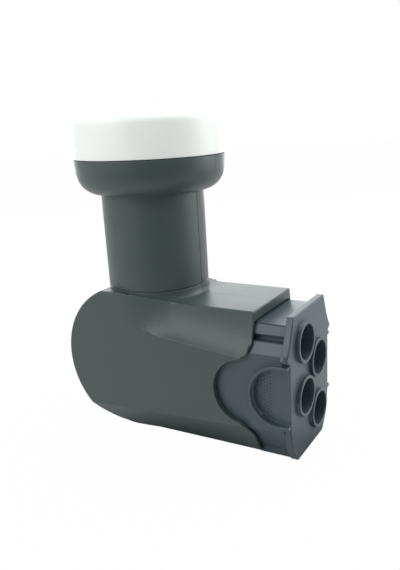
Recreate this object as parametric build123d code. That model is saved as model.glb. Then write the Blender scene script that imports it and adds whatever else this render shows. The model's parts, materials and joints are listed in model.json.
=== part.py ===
"""A four-output satellite low noise block with a 40 mm neck and a sliding weather cover.

The origin is the middle of the neck, on its axis. Z runs up the neck to the white cap,
and X runs out to the four sockets. Sizes are in millimetres.
"""
from build123d import *
import os
from math import cos, pi, radians, sqrt

# Neck that the dish arm's clamp holds, and the bowl above it
NECK_R = 20.0
NECK_LENGTH = 36.5
NECK_WALL = 2.2
BOWL_FOOT_R = 21.4
BOWL_HEIGHT = 13.2
BOWL_BAND = 3.0
HORN_GAP = 0.4
LIP_WALL = 1.8
LIP_STEP = 1.6
LIP_HEIGHT = 4.6

# Cap over the horn
CAP_PROUD = 0.15
CAP_SIDE = 12.6
CAP_TAPER = 0.3
CAP_EDGE_R = 3.0
CAP_DOME = 2.8
CAP_WALL = 1.5
SEAL_CORD = 1.1
SEAL_RISE = 2.6

# Housing below the neck
HOUSING_HALF = 22.0
HOUSING_FOOT = 4.9
HOUSING_WALL = 2.2
NECK_STEP = 3.2
COLLAR_R = 24.0
RAMP_START_X = 0.0
RAMP_END_X = 17.5
REAR_X = -1.5
REAR_ROUND = 1.1
RIM_X = 50.4
RIM_TOP_HALF = 16.3
RIDGE_DROP = 16.3
RIDGE_DROP_REAR = 10.2
FLARE_START_X = -4.0
FLARE_FULL_X = 21.0
FLARE_STEPS = 9
FLARE_HOLLOW = 1.3
CHAMFER_RISE = 13.4
CHAMFER_RISE_REAR = 9.2
BASE_HALF = 14.0
BASE_HALF_REAR = 18.2
CHAMFER_BEND_X = 5.0
SCALLOP_R = 12.5
SCALLOP_X = 48.2
SCALLOP_DROP = 29.0
SCALLOP_TOP_RUN = 7.2
SCALLOP_FOOT_RUN = 8.5
RIB_THICK = 2.0

# Sliding weather cover
COVER_GAP = 11.9
PLATE_THICK = 2.0
PLATE_DROP = 0.9
PLATE_OVERLAP = 1.5
PLATE_TOP_HALF = 14.9
EAR_HALF = 21.9
EAR_DROP = 15.0
PLATE_WAIST_HALF = 19.2
PLATE_FOOT_HALF = 13.6
PLATE_EDGE_R = 0.6
DRAWER_LENGTH = 30.3
DRAWER_TOP_DROP = 4.2
DRAWER_TOP_HALF = 14.9
DRAWER_HALF = 19.4
DRAWER_FOOT_GAP = 1.6
DRAWER_BASE_HALF = 12.6
DRAWER_CORNER_STEP = 1.4
DRAWER_WALL = 1.4
GROOVE_DROP = 8.1
GROOVE_WIDTH = 2.2
GROOVE_FLOOR_HALF = 14.3
BLOCK_FOOT_HALF = 16.3
RAIL_HALF = 17.3
RAIL_FOOT_DROP = 14.4
GROOVE_END = 1.6
TONGUE_HALF = 12.4
TONGUE_OVERLAP = 1.1
TONGUE_LAP = 1.0
THUMB_R = 12.0
THUMB_X_BACK = 1.3
THUMB_DROP = 29.3
THUMB_HALF = 21.3
THUMB_RIM = 1.3
THUMB_FLOOR_REAR = 16.4
THUMB_FLOOR_FRONT = 19.2
RUNNING_GAP = 0.35

# Sleeves of the cover and the four sockets behind them
SLEEVE_BORE_R = 6.5
SLEEVE_WALL = 1.2
SLEEVE_PROUD = 2.2
SLEEVE_TAIL = 5.8
SOCKET_SIDE = 6.4
SOCKET_FIRST_DROP = 12.5
SOCKET_PITCH = 10.5
SOCKET_COUNT = 4
SOCKET_HEAD_ROOM = 6.3
SOCKET_FOOT_ROOM = 6.6
SOCKET_R = 4.76
SOCKET_LENGTH = 12.0
CONTACT_TURN = 2.4
SOCKET_COLLAR_R = 6.0
SOCKET_COLLAR = 1.6
SOCKET_SPIGOT = 2.6
SOCKET_SPIGOT_R = 4.0
SOCKET_MOUTH_DEPTH = 2.4
INSULATOR_R = 3.3
CONTACT_BORE_R = 0.65
CONTACT_R = 0.5
CONTACT_BEND_R = 1.6
WASHER_THICK = 0.8

# Die-cast horn, waveguide and circuit box
GUIDE_BORE_R = 9.5
GUIDE_WALL = 2.2
GUIDE_END_DROP = 40.0
GUIDE_FLOOR = 2.5
HORN_R = 25.2
HORN_FOOT_RISE = 1.6
HORN_SEAT_RISE = 10.6
HORN_TOP_RISE = 17.2
HORN_FLOOR_RISE = 12.2
HORN_RING_WALL = 1.4
HORN_RING_PITCH = 4.8
HORN_RING_COUNT = 2
BOX_FRONT_X = 44.0
BOX_HALF = 12.5
BOX_WALL = 2.0
BOX_FRONT_WALL = 3.0
LID_THICK = 1.5
LID_SCREW_R = 1.0
LID_SCREW_HEAD_R = 1.8
LID_SCREW_HEAD = 0.9
LID_BOSS_R = 2.4
LID_SCREW_BITE = 5.0
LID_SCREW_EDGE = 2.7
LID_SCREW_REAR_STEP = 0.6
GASKET_THICK = 0.5

# Circuit board and what stands on it
BOARD_THICK = 1.2
BOARD_EDGE_GAP = 0.4
BOARD_BOSS_R = 2.2
BOARD_SCREW_R = 1.0
BOARD_SCREW_HEAD_R = 1.9
BOARD_SCREW_HEAD = 1.2
BOARD_SCREW_BITE = 4.0
BOARD_SCREW_EDGE = 7.5
BOARD_SCREW_REAR = 6.0
BOARD_SCREW_FRONT = 9.0
SCREW_HOLE_SPARE = 1.0
PROBE_R = 0.6
BUSH_R = 1.8
PROBE_REACH = 5.4
PROBE_TAIL = 4.0
PROBE_UPPER_DROP = 19.0
PROBE_LOWER_DROP = 29.0
RESONATOR_R = 2.9
RESONATOR_HEIGHT = 2.4
RESONATOR_PITCH = 8.5
RESONATOR_STEP = 0.8
RESONATOR_MIDDLE_STEP = 2.85
SCREEN_SIDE_GAP = 2.1
SCREEN_FOOT_GAP = 2.15
SCREEN_WALL = 0.4
SCREEN_RISE = 6.5
CHIP_SIDE = 7.0
CHIP_RISE = 1.4
CHIP_LIFT = 5.9
REGULATOR_WIDTH = 6.5
REGULATOR_HEIGHT = 6.0
REGULATOR_RISE = 2.3
REGULATOR_STEP = 6.1
BACK_PARTS_X = 12.0
TRANSISTOR_STEP = 2.6
TRANSISTOR_WIDTH = 2.0
TRANSISTOR_HEIGHT = 1.6
TRANSISTOR_RISE = 1.0
TUNING_SCREW_R = 1.9
TUNING_SCREW_PROUD = 0.4
TUNING_SCREW_LENGTH = 4.2

# Radii and drops that follow from the sizes above
BOWL_INNER_R = HORN_R + HORN_GAP
LIP_R = BOWL_INNER_R + LIP_WALL
BOWL_R = LIP_R + LIP_STEP
CAP_R = BOWL_R + CAP_PROUD
BOX_TOP_DROP = SOCKET_FIRST_DROP - SOCKET_HEAD_ROOM
BOX_BASE_DROP = SOCKET_FIRST_DROP + (SOCKET_COUNT - 1) * SOCKET_PITCH + SOCKET_FOOT_ROOM
HOUSING_DEPTH = BOX_BASE_DROP + HOUSING_FOOT
CHAMFER_DROP = HOUSING_DEPTH - CHAMFER_RISE
DRAWER_BASE_DROP = HOUSING_DEPTH - DRAWER_FOOT_GAP
DRAWER_CORNER_DROP = CHAMFER_DROP + DRAWER_CORNER_STEP
PLATE_BASE_DROP = HOUSING_DEPTH + PLATE_OVERLAP
TONGUE_DROP = HOUSING_DEPTH + TONGUE_OVERLAP

# Levels and places that follow from the sizes above
neck_top = NECK_LENGTH / 2
neck_base = -NECK_LENGTH / 2
top_z = neck_base - NECK_STEP
base_z = top_z - HOUSING_DEPTH
parting_z = neck_top + BOWL_HEIGHT
lip_top = parting_z + LIP_HEIGHT
REAR_R = (neck_base - base_z) / 2 + REAR_ROUND
rear_z = base_z + REAR_R
plate_back = RIM_X + COVER_GAP
plate_front = plate_back + PLATE_THICK
drawer_back = plate_back - DRAWER_LENGTH
box_rear_x = GUIDE_BORE_R
box_inner_rear = GUIDE_BORE_R + GUIDE_WALL + 2.0
box_inner_front = BOX_FRONT_X - BOX_FRONT_WALL
lid_outer_y = -BOX_HALF
lid_inner_y = lid_outer_y + LID_THICK
gasket_inner_y = lid_inner_y + GASKET_THICK
BIG = 200.0


def level(drop):
    """Height of a place that lies so far below the housing's flat top."""
    return top_z - drop


def outline(*lines):
    """Face inside a closed row of lines."""
    return make_face((Curve() + list(lines)).edges())


def turned(*lines):
    """Solid of revolution about Z, from lines of radius and height."""
    return revolve(Plane.XZ * outline(*lines), axis=Axis.Z)


def block(x, y, z):
    """Box between two corners, given as pairs along each axis."""
    middle = [(a + b) / 2 for a, b in (x, y, z)]
    return Pos(*middle) * Box(x[1] - x[0], y[1] - y[0], z[1] - z[0])


def rod(start, axis, radius, length):
    """Round bar from a start point along a row axis."""
    turn = {"X": (0, 90, 0), "Y": (-90, 0, 0), "Z": (0, 0, 0)}[axis]
    place = Location(start, turn)
    return place * Cylinder(radius, length, align=(Align.CENTER, Align.CENTER, Align.MIN))


def pipe(start, axis, outer, inner, length):
    """Round tube from a start point along a row axis."""
    return rod(start, axis, outer, length) - rod(start, axis, inner, length)


def side_prism(points, x_from, x_to):
    """Bar along X whose section is given by points of half width and height, both sides."""
    far = [(y, z) for y, z in points]
    near = [(-y, z) for y, z in reversed(points)]
    face = make_face(Polyline(*far, *near, close=True).edges())
    return extrude(Plane((x_from, 0, 0), x_dir=(0, 1, 0), z_dir=(1, 0, 0)) * face, x_to - x_from)


def write(node, shape):
    """Write one node's solids to its own file."""
    export_step(shape, f"parts/{node}.step")


def socket_places():
    """Axes of the sockets, as pairs of Y and Z, from the top one down."""
    return [
        (-SOCKET_SIDE if i % 2 == 0 else SOCKET_SIDE, level(SOCKET_FIRST_DROP + i * SOCKET_PITCH))
        for i in range(SOCKET_COUNT)
    ]


# Housing

def housing_block():
    """Housing below the neck: level base, round rear end, top that ramps down from the neck to the rim."""
    arc_x = REAR_X - sqrt(REAR_R**2 - (neck_base - rear_z) ** 2)
    run = RAMP_END_X - RAMP_START_X
    side = outline(
        Line((arc_x, neck_base), (RAMP_START_X, neck_base)),
        Bezier(
            (RAMP_START_X, neck_base), (RAMP_START_X + run * 0.42, neck_base),
            (RAMP_END_X - run * 0.4, top_z), (RAMP_END_X, top_z),
        ),
        Polyline((RAMP_END_X, top_z), (RIM_X, top_z), (RIM_X, base_z), (REAR_X, base_z)),
        ThreePointArc((REAR_X, base_z), (REAR_X - REAR_R, rear_z), (arc_x, neck_base)),
    )
    body = extrude(Plane.XZ * side, HOUSING_HALF, both=True)
    return body + neck_collar() - flare_cutters() - base_chamfers()


def neck_collar():
    """Hollow fillet from the neck's foot out to the flat top, kept inside the flanks."""
    run = COLLAR_R - NECK_R
    radius = (run * run + NECK_STEP * NECK_STEP) / (2 * NECK_STEP)
    half = (COLLAR_R + NECK_R) / 2
    height = top_z + radius - sqrt(radius**2 - (COLLAR_R - half) ** 2)
    fillet_ring = turned(
        ThreePointArc((NECK_R, neck_base), (half, height), (COLLAR_R, top_z)),
        Polyline((COLLAR_R, top_z), (COLLAR_R, top_z - 1), (0, top_z - 1), (0, neck_base), (NECK_R, neck_base)),
    )
    return fillet_ring & block((0, BIG), (-HOUSING_HALF, HOUSING_HALF), (base_z, neck_base + 1))


def flare_section(x):
    """Section outside the hollow flank, which leans in along a smooth curve toward the rim."""
    way = min(1.0, (x - FLARE_START_X) / (FLARE_FULL_X - FLARE_START_X))
    share = (1 - cos(pi * way)) / 2
    top_half = HOUSING_HALF + (RIM_TOP_HALF - HOUSING_HALF) * share
    ridge = level(RIDGE_DROP_REAR + (RIDGE_DROP - RIDGE_DROP_REAR) * (x - FLARE_START_X) / (RIM_X - FLARE_START_X))
    bend = (top_half + FLARE_HOLLOW * share, ridge + (top_z - ridge) * (0.5 - 0.2 * share))
    above = neck_base + 2
    flank = Bezier((HOUSING_HALF, ridge), bend, (top_half, top_z))
    edge = Polyline(
        (top_half, top_z), (top_half - share, above), (HOUSING_HALF + 1, above), (HOUSING_HALF + 1, ridge),
        (HOUSING_HALF, ridge),
    )
    plane = Plane((x, 0, 0), x_dir=(0, 1, 0), z_dir=(1, 0, 0))
    return plane * outline(flank, edge)


def flare_cutters():
    """What is cut off both upper flanks so that they lean in toward the rim."""
    step = (FLARE_FULL_X - FLARE_START_X) / FLARE_STEPS
    stations = [FLARE_START_X + step * i for i in range(FLARE_STEPS + 1)] + [RIM_X + 1]
    far = loft([flare_section(x) for x in stations], ruled=True)
    return far + mirror(far, Plane.XZ)


def chamfer_section(x, rise, half):
    """Section outside the chamfer of a lower edge, which rises so far and leaves so much base."""
    out = HOUSING_HALF + 2
    below = base_z - 2
    slope = (HOUSING_HALF - half) / rise
    face = make_face(
        Polyline(
            (HOUSING_HALF, base_z + rise), (half - 2 * slope, below), (out, below), (out, base_z + rise), close=True
        ).edges()
    )
    return Plane((x, 0, 0), x_dir=(0, 1, 0), z_dir=(1, 0, 0)) * face


def base_chamfers():
    """What is cut off the two lower edges: widest at the rim, and narrower round the rear end."""
    rear_x = REAR_X - REAR_R - 1
    rise_bend = CHAMFER_RISE + (CHAMFER_RISE_REAR - CHAMFER_RISE) * (RIM_X - CHAMFER_BEND_X) / (RIM_X - rear_x)
    far = loft(
        [
            chamfer_section(rear_x, CHAMFER_RISE_REAR, BASE_HALF_REAR),
            chamfer_section(CHAMFER_BEND_X, rise_bend, BASE_HALF),
            chamfer_section(RIM_X + 1, CHAMFER_RISE, BASE_HALF),
        ],
        ruled=True,
    )
    return far + mirror(far, Plane.XZ)


def neck_and_bowl():
    """Neck, bowl and the lip that the cap snaps over, as one turned wall with its bore."""
    band = parting_z - BOWL_BAND
    waist = ((BOWL_FOOT_R + BOWL_R) / 2 + 1.1, neck_top + (BOWL_HEIGHT - BOWL_BAND) * 0.44)
    groove_r = LIP_R - SEAL_CORD * 0.72
    groove_z = parting_z + SEAL_RISE
    outer = turned(
        Polyline((0, top_z - 4), (NECK_R, top_z - 4), (NECK_R, neck_top), (BOWL_FOOT_R, neck_top)),
        ThreePointArc((BOWL_FOOT_R, neck_top), waist, (BOWL_R - 0.25, band)),
        Polyline(
            (BOWL_R - 0.25, band), (BOWL_R, parting_z), (LIP_R, parting_z),
            (LIP_R, groove_z - SEAL_CORD * 0.6), (groove_r, groove_z - SEAL_CORD * 0.6),
            (groove_r, groove_z + SEAL_CORD * 0.6), (LIP_R, groove_z + SEAL_CORD * 0.6),
            (LIP_R, lip_top), (0, lip_top), (0, top_z - 4),
        ),
    )
    return outer


def neck_bore():
    """Room inside the neck and the bowl."""
    bore_r = NECK_R - NECK_WALL
    start = (bore_r, neck_top + NECK_WALL)
    end = (BOWL_INNER_R, parting_z - BOWL_BAND - 1.4)
    middle = ((start[0] + end[0]) / 2 + 0.9, (start[1] + end[1]) / 2 - 0.9)
    return turned(
        Polyline((0, top_z - 4.5), (bore_r, top_z - 4.5), start),
        ThreePointArc(start, middle, end),
        Polyline(end, (BOWL_INNER_R, lip_top + 1), (0, lip_top + 1), (0, top_z - 4.5)),
    )


def drawer_section(extra):
    """Half section of the cover's drawer, as half width and height, grown by extra."""
    slope = extra * 0.6
    return [
        (DRAWER_TOP_HALF + extra, level(DRAWER_TOP_DROP) + extra),
        (BLOCK_FOOT_HALF + extra, level(GROOVE_DROP)),
        (BLOCK_FOOT_HALF + extra, level(GROOVE_DROP + GROOVE_WIDTH)),
        (RAIL_HALF + extra, level(GROOVE_DROP + GROOVE_WIDTH) + slope),
        (DRAWER_HALF + extra, level(RAIL_FOOT_DROP) + slope),
        (DRAWER_HALF + extra, level(DRAWER_CORNER_DROP) - slope),
        (DRAWER_BASE_HALF + extra, level(DRAWER_BASE_DROP) - extra),
    ]


def housing_room():
    """Room inside the housing: a wide rear chamber, and a guide that fits the cover's drawer."""
    inner_r = REAR_R - HOUSING_WALL
    inner_top = level(HOUSING_WALL)
    arc_x = REAR_X - sqrt(inner_r**2 - (inner_top - rear_z) ** 2)
    chamber_end = drawer_back - COVER_GAP - 0.5
    floor_z = base_z + HOUSING_WALL
    side = outline(
        Polyline((arc_x, inner_top), (chamber_end + 1, inner_top), (chamber_end + 1, floor_z), (REAR_X, floor_z)),
        ThreePointArc((REAR_X, floor_z), (REAR_X - inner_r, rear_z), (arc_x, inner_top)),
    )
    tall = extrude(Plane.XZ * side, HOUSING_HALF, both=True)
    inner_half = HOUSING_HALF - HOUSING_WALL
    section = [
        (RIM_TOP_HALF - HOUSING_WALL, level(HOUSING_WALL)),
        (RIM_TOP_HALF - HOUSING_WALL, level(GROOVE_DROP)),
        (inner_half, level(RIDGE_DROP + HOUSING_WALL)),
        (inner_half, level(CHAMFER_DROP - 0.6)),
        (BASE_HALF - HOUSING_WALL * 0.6, base_z + HOUSING_WALL),
    ]
    chamber = tall & side_prism(section, -BIG / 2, chamber_end + 1)
    guide = side_prism(drawer_section(RUNNING_GAP), chamber_end, RIM_X + 1)
    return chamber + guide


def guide_rails():
    """Rails on the guide's walls that run in the grooves of the cover."""
    reach = (GROOVE_FLOOR_HALF + RUNNING_GAP, BLOCK_FOOT_HALF + RUNNING_GAP + 0.6)
    height = (level(GROOVE_DROP + GROOVE_WIDTH - RUNNING_GAP), level(GROOVE_DROP + RUNNING_GAP))
    far = block((drawer_back + GROOVE_END + 0.3, RIM_X - 1.5), reach, height)
    return far + mirror(far, Plane.XZ)


def scallops():
    """What is cut from both flanks at the rim, to leave room for the thumb grips."""
    top = (RIM_X, level(SCALLOP_DROP - SCALLOP_R - SCALLOP_TOP_RUN))
    top_end = (SCALLOP_X - 1.9, level(SCALLOP_DROP) + sqrt(SCALLOP_R**2 - 1.9**2))
    foot_end = (SCALLOP_X - 2.6, level(SCALLOP_DROP) - sqrt(SCALLOP_R**2 - 2.6**2))
    foot = (RIM_X, level(SCALLOP_DROP + SCALLOP_R + SCALLOP_FOOT_RUN))
    top_bend = ((top[0] + top_end[0]) / 2 + 1.1, (top[1] + top_end[1]) / 2 - 0.9)
    foot_bend = ((foot[0] + foot_end[0]) / 2 + 1.0, (foot[1] + foot_end[1]) / 2 + 1.6)
    face = outline(
        ThreePointArc(top, top_bend, top_end),
        ThreePointArc(top_end, (SCALLOP_X - SCALLOP_R, level(SCALLOP_DROP)), foot_end),
        ThreePointArc(foot_end, foot_bend, foot),
        Polyline(foot, (RIM_X + 5, foot[1]), (RIM_X + 5, top[1]), top),
    )
    return extrude(Plane.XZ * face, HOUSING_HALF + 1, both=True)


def tongue_slot():
    """Slot in the housing's base that lets the cover's tongue slide in."""
    x = (RIM_X - TONGUE_LAP - COVER_GAP - RUNNING_GAP, RIM_X + 1)
    half = TONGUE_HALF + RUNNING_GAP
    return block(x, (-half, half), (base_z - 1, level(DRAWER_BASE_DROP - 1)))


def holding_ribs():
    """Ribs that hold the casting: two across the housing and one ring in the neck."""
    inner_half = HOUSING_HALF - 0.5
    front_x = box_inner_rear
    room = block((front_x, front_x + RIB_THICK), (-inner_half, inner_half), (base_z + 1, level(HOUSING_WALL)))
    rear_x = -RIB_THICK * 1.5
    room += block((rear_x, rear_x + RIB_THICK), (-inner_half, inner_half), (base_z + 1, level(HOUSING_WALL)))
    chamber_only = room & housing_room()
    ring = pipe((0, 0, neck_top * 0.4), "Z", NECK_R - NECK_WALL, GUIDE_BORE_R + GUIDE_WALL + 0.2, RIB_THICK)
    held = casting_envelope(0.2)
    return (chamber_only - held) + ring


def casting_envelope(extra):
    """Outer form of the casting's tube and box with its lid, grown by extra."""
    tube = rod(
        (0, 0, level(GUIDE_END_DROP + GUIDE_FLOOR) - extra), "Z", GUIDE_BORE_R + GUIDE_WALL + extra,
        neck_top - level(GUIDE_END_DROP + GUIDE_FLOOR),
    )
    box = block(
        (box_rear_x - extra, BOX_FRONT_X + extra),
        (-BOX_HALF - extra, BOX_HALF + extra),
        (level(BOX_BASE_DROP) - extra, level(BOX_TOP_DROP) + extra),
    )
    return tube + box


def housing():
    """Whole housing with its neck and bowl, before it is split into two halves."""
    body = housing_block() + neck_and_bowl()
    body = body - housing_room() - neck_bore() - scallops() - tongue_slot()
    return body + guide_rails() + holding_ribs()


# Cap and seal

def horn_cap():
    """Domed cap with a slight taper, a round edge and an open underside."""
    side_top = parting_z + CAP_SIDE
    edge_z = side_top + CAP_EDGE_R
    edge_r = CAP_R - CAP_TAPER - CAP_EDGE_R
    bend = CAP_EDGE_R * (1 - cos(radians(45)))
    apex = edge_z + CAP_DOME
    inner_r = LIP_R + RUNNING_GAP
    inner_top = edge_z - CAP_WALL
    outer = turned(
        Polyline((0, parting_z), (CAP_R, parting_z), (CAP_R - CAP_TAPER, side_top)),
        ThreePointArc(
            (CAP_R - CAP_TAPER, side_top), (CAP_R - CAP_TAPER - bend, edge_z - bend), (edge_r, edge_z)
        ),
        Bezier((edge_r, edge_z), (edge_r / 2, apex), (0, apex)),
        Line((0, apex), (0, parting_z)),
    )
    shoulder = (edge_r - 0.4, inner_top)
    inner = turned(
        Polyline((0, parting_z - 1), (inner_r, parting_z - 1), (inner_r, side_top - 0.5), shoulder),
        Bezier(shoulder, (edge_r / 2, apex - CAP_WALL), (0, apex - CAP_WALL)),
        Line((0, apex - CAP_WALL), (0, parting_z - 1)),
    )
    return outer - inner


def cap_seal():
    """Rubber ring in the groove of the lip."""
    ring_r = LIP_R - SEAL_CORD * 0.72 + SEAL_CORD / 2
    return Pos(0, 0, parting_z + SEAL_RISE) * Torus(ring_r, SEAL_CORD / 2)


# Weather cover

def plate_outline():
    """Front plate's half outline, as half width and height from the top down."""
    return [
        (PLATE_TOP_HALF, level(PLATE_DROP)),
        (PLATE_TOP_HALF + 1.5, level(PLATE_DROP + 3.9)),
        (PLATE_TOP_HALF + 3.0, level(PLATE_DROP + 7.6)),
        (EAR_HALF - 1.9, level(EAR_DROP - 2.6)),
        (EAR_HALF, level(EAR_DROP)),
        (PLATE_WAIST_HALF, level(EAR_DROP + 2.0)),
        (PLATE_WAIST_HALF, level(THUMB_DROP + THUMB_R)),
        ((PLATE_WAIST_HALF + PLATE_FOOT_HALF) / 2 + 0.8, level(THUMB_DROP + THUMB_R + 9.6)),
        (PLATE_FOOT_HALF, level(PLATE_BASE_DROP - 0.8)),
        (PLATE_FOOT_HALF - 1.2, level(PLATE_BASE_DROP)),
    ]


def thumb_grips():
    """Round pads on both flanks of the cover, before their hollows are cut."""
    x = plate_back - THUMB_X_BACK
    far = rod((x, DRAWER_HALF - 4, level(THUMB_DROP)), "Y", THUMB_R, THUMB_HALF - DRAWER_HALF + 4)
    far += block(
        (x, plate_front - 0.2), (DRAWER_HALF - 4, THUMB_HALF),
        (level(THUMB_DROP + THUMB_R), level(THUMB_DROP - THUMB_R)),
    )
    far = far & block((0, plate_front - 0.2), (0, BIG), (base_z, top_z))
    return far + mirror(far, Plane.XZ)


def thumb_hollows():
    """Hollows in the grips, deeper toward the rear, open through the front plate."""
    x = plate_back - THUMB_X_BACK
    radius = THUMB_R - THUMB_RIM
    disc = rod((x, 0, level(THUMB_DROP)), "Y", radius, BIG)
    disc += block((x, plate_front + 1), (0, BIG), (level(THUMB_DROP) - radius, level(THUMB_DROP) + radius))
    rear_x = x - THUMB_R
    floor = make_face(
        Polyline(
            (rear_x, THUMB_FLOOR_REAR), (plate_front + 1, THUMB_FLOOR_FRONT), (plate_front + 1, BIG), (rear_x, BIG),
            close=True,
        ).edges()
    )
    wedge = extrude(Plane((0, 0, base_z)) * floor, HOUSING_DEPTH)
    far = disc & wedge
    return far + mirror(far, Plane.XZ)


def drawer_room():
    """Room inside the drawer, open to the rear, with thick pads behind the thumb hollows."""
    wall = DRAWER_WALL
    section = [
        (DRAWER_TOP_HALF - wall, level(DRAWER_TOP_DROP + wall)),
        (GROOVE_FLOOR_HALF - wall, level(DRAWER_TOP_DROP + wall * 2)),
        (GROOVE_FLOOR_HALF - wall, level(GROOVE_DROP + GROOVE_WIDTH + wall)),
        (RAIL_HALF - wall * 1.6, level(GROOVE_DROP + GROOVE_WIDTH + wall)),
        (DRAWER_HALF - wall, level(RAIL_FOOT_DROP + wall * 0.6)),
        (DRAWER_HALF - wall, level(DRAWER_CORNER_DROP - wall * 0.3)),
        (DRAWER_BASE_HALF - wall * 0.6, level(DRAWER_BASE_DROP - wall)),
    ]
    room = side_prism(section, drawer_back - 1, plate_back)
    pad_half = THUMB_FLOOR_REAR - wall
    pad_x = (plate_back - THUMB_X_BACK - THUMB_R - wall, plate_back + 1)
    pad_z = (level(THUMB_DROP + THUMB_R + wall), level(THUMB_DROP - THUMB_R - wall * 0.5))
    pad = block(pad_x, (pad_half, DRAWER_HALF), pad_z)
    return room - pad - mirror(pad, Plane.XZ)


def cover_grooves():
    """Grooves for the housing's rails, closed at the drawer's rear end as stops."""
    x = (drawer_back + GROOVE_END, plate_back)
    z = (level(GROOVE_DROP + GROOVE_WIDTH), level(GROOVE_DROP))
    far = block(x, (GROOVE_FLOOR_HALF, DRAWER_HALF), z)
    return far + mirror(far, Plane.XZ)


def weather_cover():
    """Drawer, front plate, four sleeves and two thumb grips in one moulding."""
    drawer = side_prism(drawer_section(0.0), drawer_back, plate_back)
    drawer = drawer - cover_grooves()
    drawer += thumb_grips()
    drawer += block(
        (RIM_X - TONGUE_LAP, plate_back), (-TONGUE_HALF, TONGUE_HALF), (level(TONGUE_DROP), level(DRAWER_BASE_DROP - 0.5))
    )
    plate = side_prism(plate_outline(), plate_back, plate_front)
    plate = fillet(plate.faces().sort_by(Axis.X)[-1].edges(), PLATE_EDGE_R)
    cover = drawer - drawer_room() + plate
    length = SLEEVE_PROUD + PLATE_THICK + SLEEVE_TAIL
    for y, z in socket_places():
        cover += rod((plate_back - SLEEVE_TAIL, y, z), "X", SLEEVE_BORE_R + SLEEVE_WALL, length)
    for y, z in socket_places():
        cover -= rod((plate_back - SLEEVE_TAIL - 1, y, z), "X", SLEEVE_BORE_R, length + 2)
    return cover - thumb_hollows()


# Casting

def horn():
    """Corrugated horn at the waveguide's mouth, with its round waveguide tube."""
    tube_r = GUIDE_BORE_R + GUIDE_WALL
    foot = level(GUIDE_END_DROP + GUIDE_FLOOR)
    floor_z = neck_top + HORN_FLOOR_RISE
    top = neck_top + HORN_TOP_RISE
    body = turned(
        Polyline(
            (0, foot), (tube_r, foot), (tube_r, neck_top + HORN_FOOT_RISE), (HORN_R, neck_top + HORN_SEAT_RISE),
            (HORN_R, top), (HORN_R - HORN_RING_WALL, top), (HORN_R - HORN_RING_WALL, floor_z),
            (tube_r, floor_z), (tube_r, top - 2.0), (0, top - 2.0), (0, foot),
        )
    )
    for i in range(HORN_RING_COUNT):
        ring_r = HORN_R - HORN_RING_PITCH * (HORN_RING_COUNT - i)
        body += pipe((0, 0, floor_z - 0.5), "Z", ring_r, ring_r - HORN_RING_WALL, top - floor_z - 1.0 + i * 0.6)
    bore = rod((0, 0, level(GUIDE_END_DROP)), "Z", GUIDE_BORE_R, BIG)
    return body - bore


def lid_screw_places():
    """Places of the lid's screws, as pairs of X and Z, round the edge of the box."""
    front_x = box_inner_front - SOCKET_SPIGOT - LID_BOSS_R - BOARD_EDGE_GAP
    xs = (box_inner_rear + LID_SCREW_REAR_STEP, (box_inner_rear + front_x) / 2, front_x)
    zs = (level(BOX_TOP_DROP + LID_SCREW_EDGE), level(BOX_BASE_DROP - LID_SCREW_EDGE))
    return [(x, z) for z in zs for x in xs]


def board_screw_places():
    """Places of the board's screws, as pairs of X and Z."""
    xs = (box_inner_rear + BOARD_SCREW_REAR, box_inner_front - BOARD_SCREW_FRONT)
    zs = (level(BOX_TOP_DROP + BOARD_SCREW_EDGE), level(BOX_BASE_DROP - BOARD_SCREW_EDGE))
    return [(x, z) for z in zs for x in xs]


def feed_casting():
    """One casting: horn, waveguide and circuit box with its socket wall."""
    box = block((box_rear_x, BOX_FRONT_X), (gasket_inner_y, BOX_HALF), (level(BOX_BASE_DROP), level(BOX_TOP_DROP)))
    room = block(
        (box_inner_rear, box_inner_front),
        (gasket_inner_y - 1, BOX_HALF - BOX_WALL),
        (level(BOX_BASE_DROP - BOX_WALL), level(BOX_TOP_DROP + BOX_WALL)),
    )
    casting = (box - room) + horn()
    depth = BOX_HALF - BOX_WALL - gasket_inner_y
    for x, z in lid_screw_places():
        casting += rod((x, gasket_inner_y, z), "Y", LID_BOSS_R, depth)
    boss_base = BOARD_THICK / 2
    for x, z in board_screw_places():
        casting += rod((x, boss_base, z), "Y", BOARD_BOSS_R, BOX_HALF - BOX_WALL - boss_base)
    casting -= rod((0, 0, level(GUIDE_END_DROP)), "Z", GUIDE_BORE_R, BIG)
    for x, z in lid_screw_places():
        casting -= rod((x, gasket_inner_y, z), "Y", LID_SCREW_R, LID_SCREW_BITE + SCREW_HOLE_SPARE * 2)
    for x, z in board_screw_places():
        casting -= rod((x, boss_base, z), "Y", BOARD_SCREW_R, BOARD_SCREW_BITE + SCREW_HOLE_SPARE)
    for y, z in socket_places():
        casting -= rod((box_inner_front - 1, y, z), "X", SOCKET_SPIGOT_R, BOX_FRONT_WALL + 2)
    for drop in (PROBE_UPPER_DROP, PROBE_LOWER_DROP):
        casting -= rod((GUIDE_BORE_R - 2, probe_y(), level(drop)), "X", BUSH_R, box_inner_rear - GUIDE_BORE_R + 4)
    return casting


def edge_ring(y_from, y_to):
    """Plate with the outline of the box, between two depths."""
    return block((box_rear_x, BOX_FRONT_X), (y_from, y_to), (level(BOX_BASE_DROP), level(BOX_TOP_DROP)))


def lid_gasket():
    """Thin conductive gasket round the mouth of the box."""
    ring = edge_ring(lid_inner_y, gasket_inner_y)
    ring -= block(
        (box_inner_rear, box_inner_front),
        (lid_inner_y - 1, gasket_inner_y + 1),
        (level(BOX_BASE_DROP - BOX_WALL), level(BOX_TOP_DROP + BOX_WALL)),
    )
    for x, z in lid_screw_places():
        ring += rod((x, lid_inner_y, z), "Y", LID_BOSS_R, GASKET_THICK)
    for x, z in lid_screw_places():
        ring -= rod((x, lid_inner_y - 1, z), "Y", LID_SCREW_R, GASKET_THICK + 2)
    return ring


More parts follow.
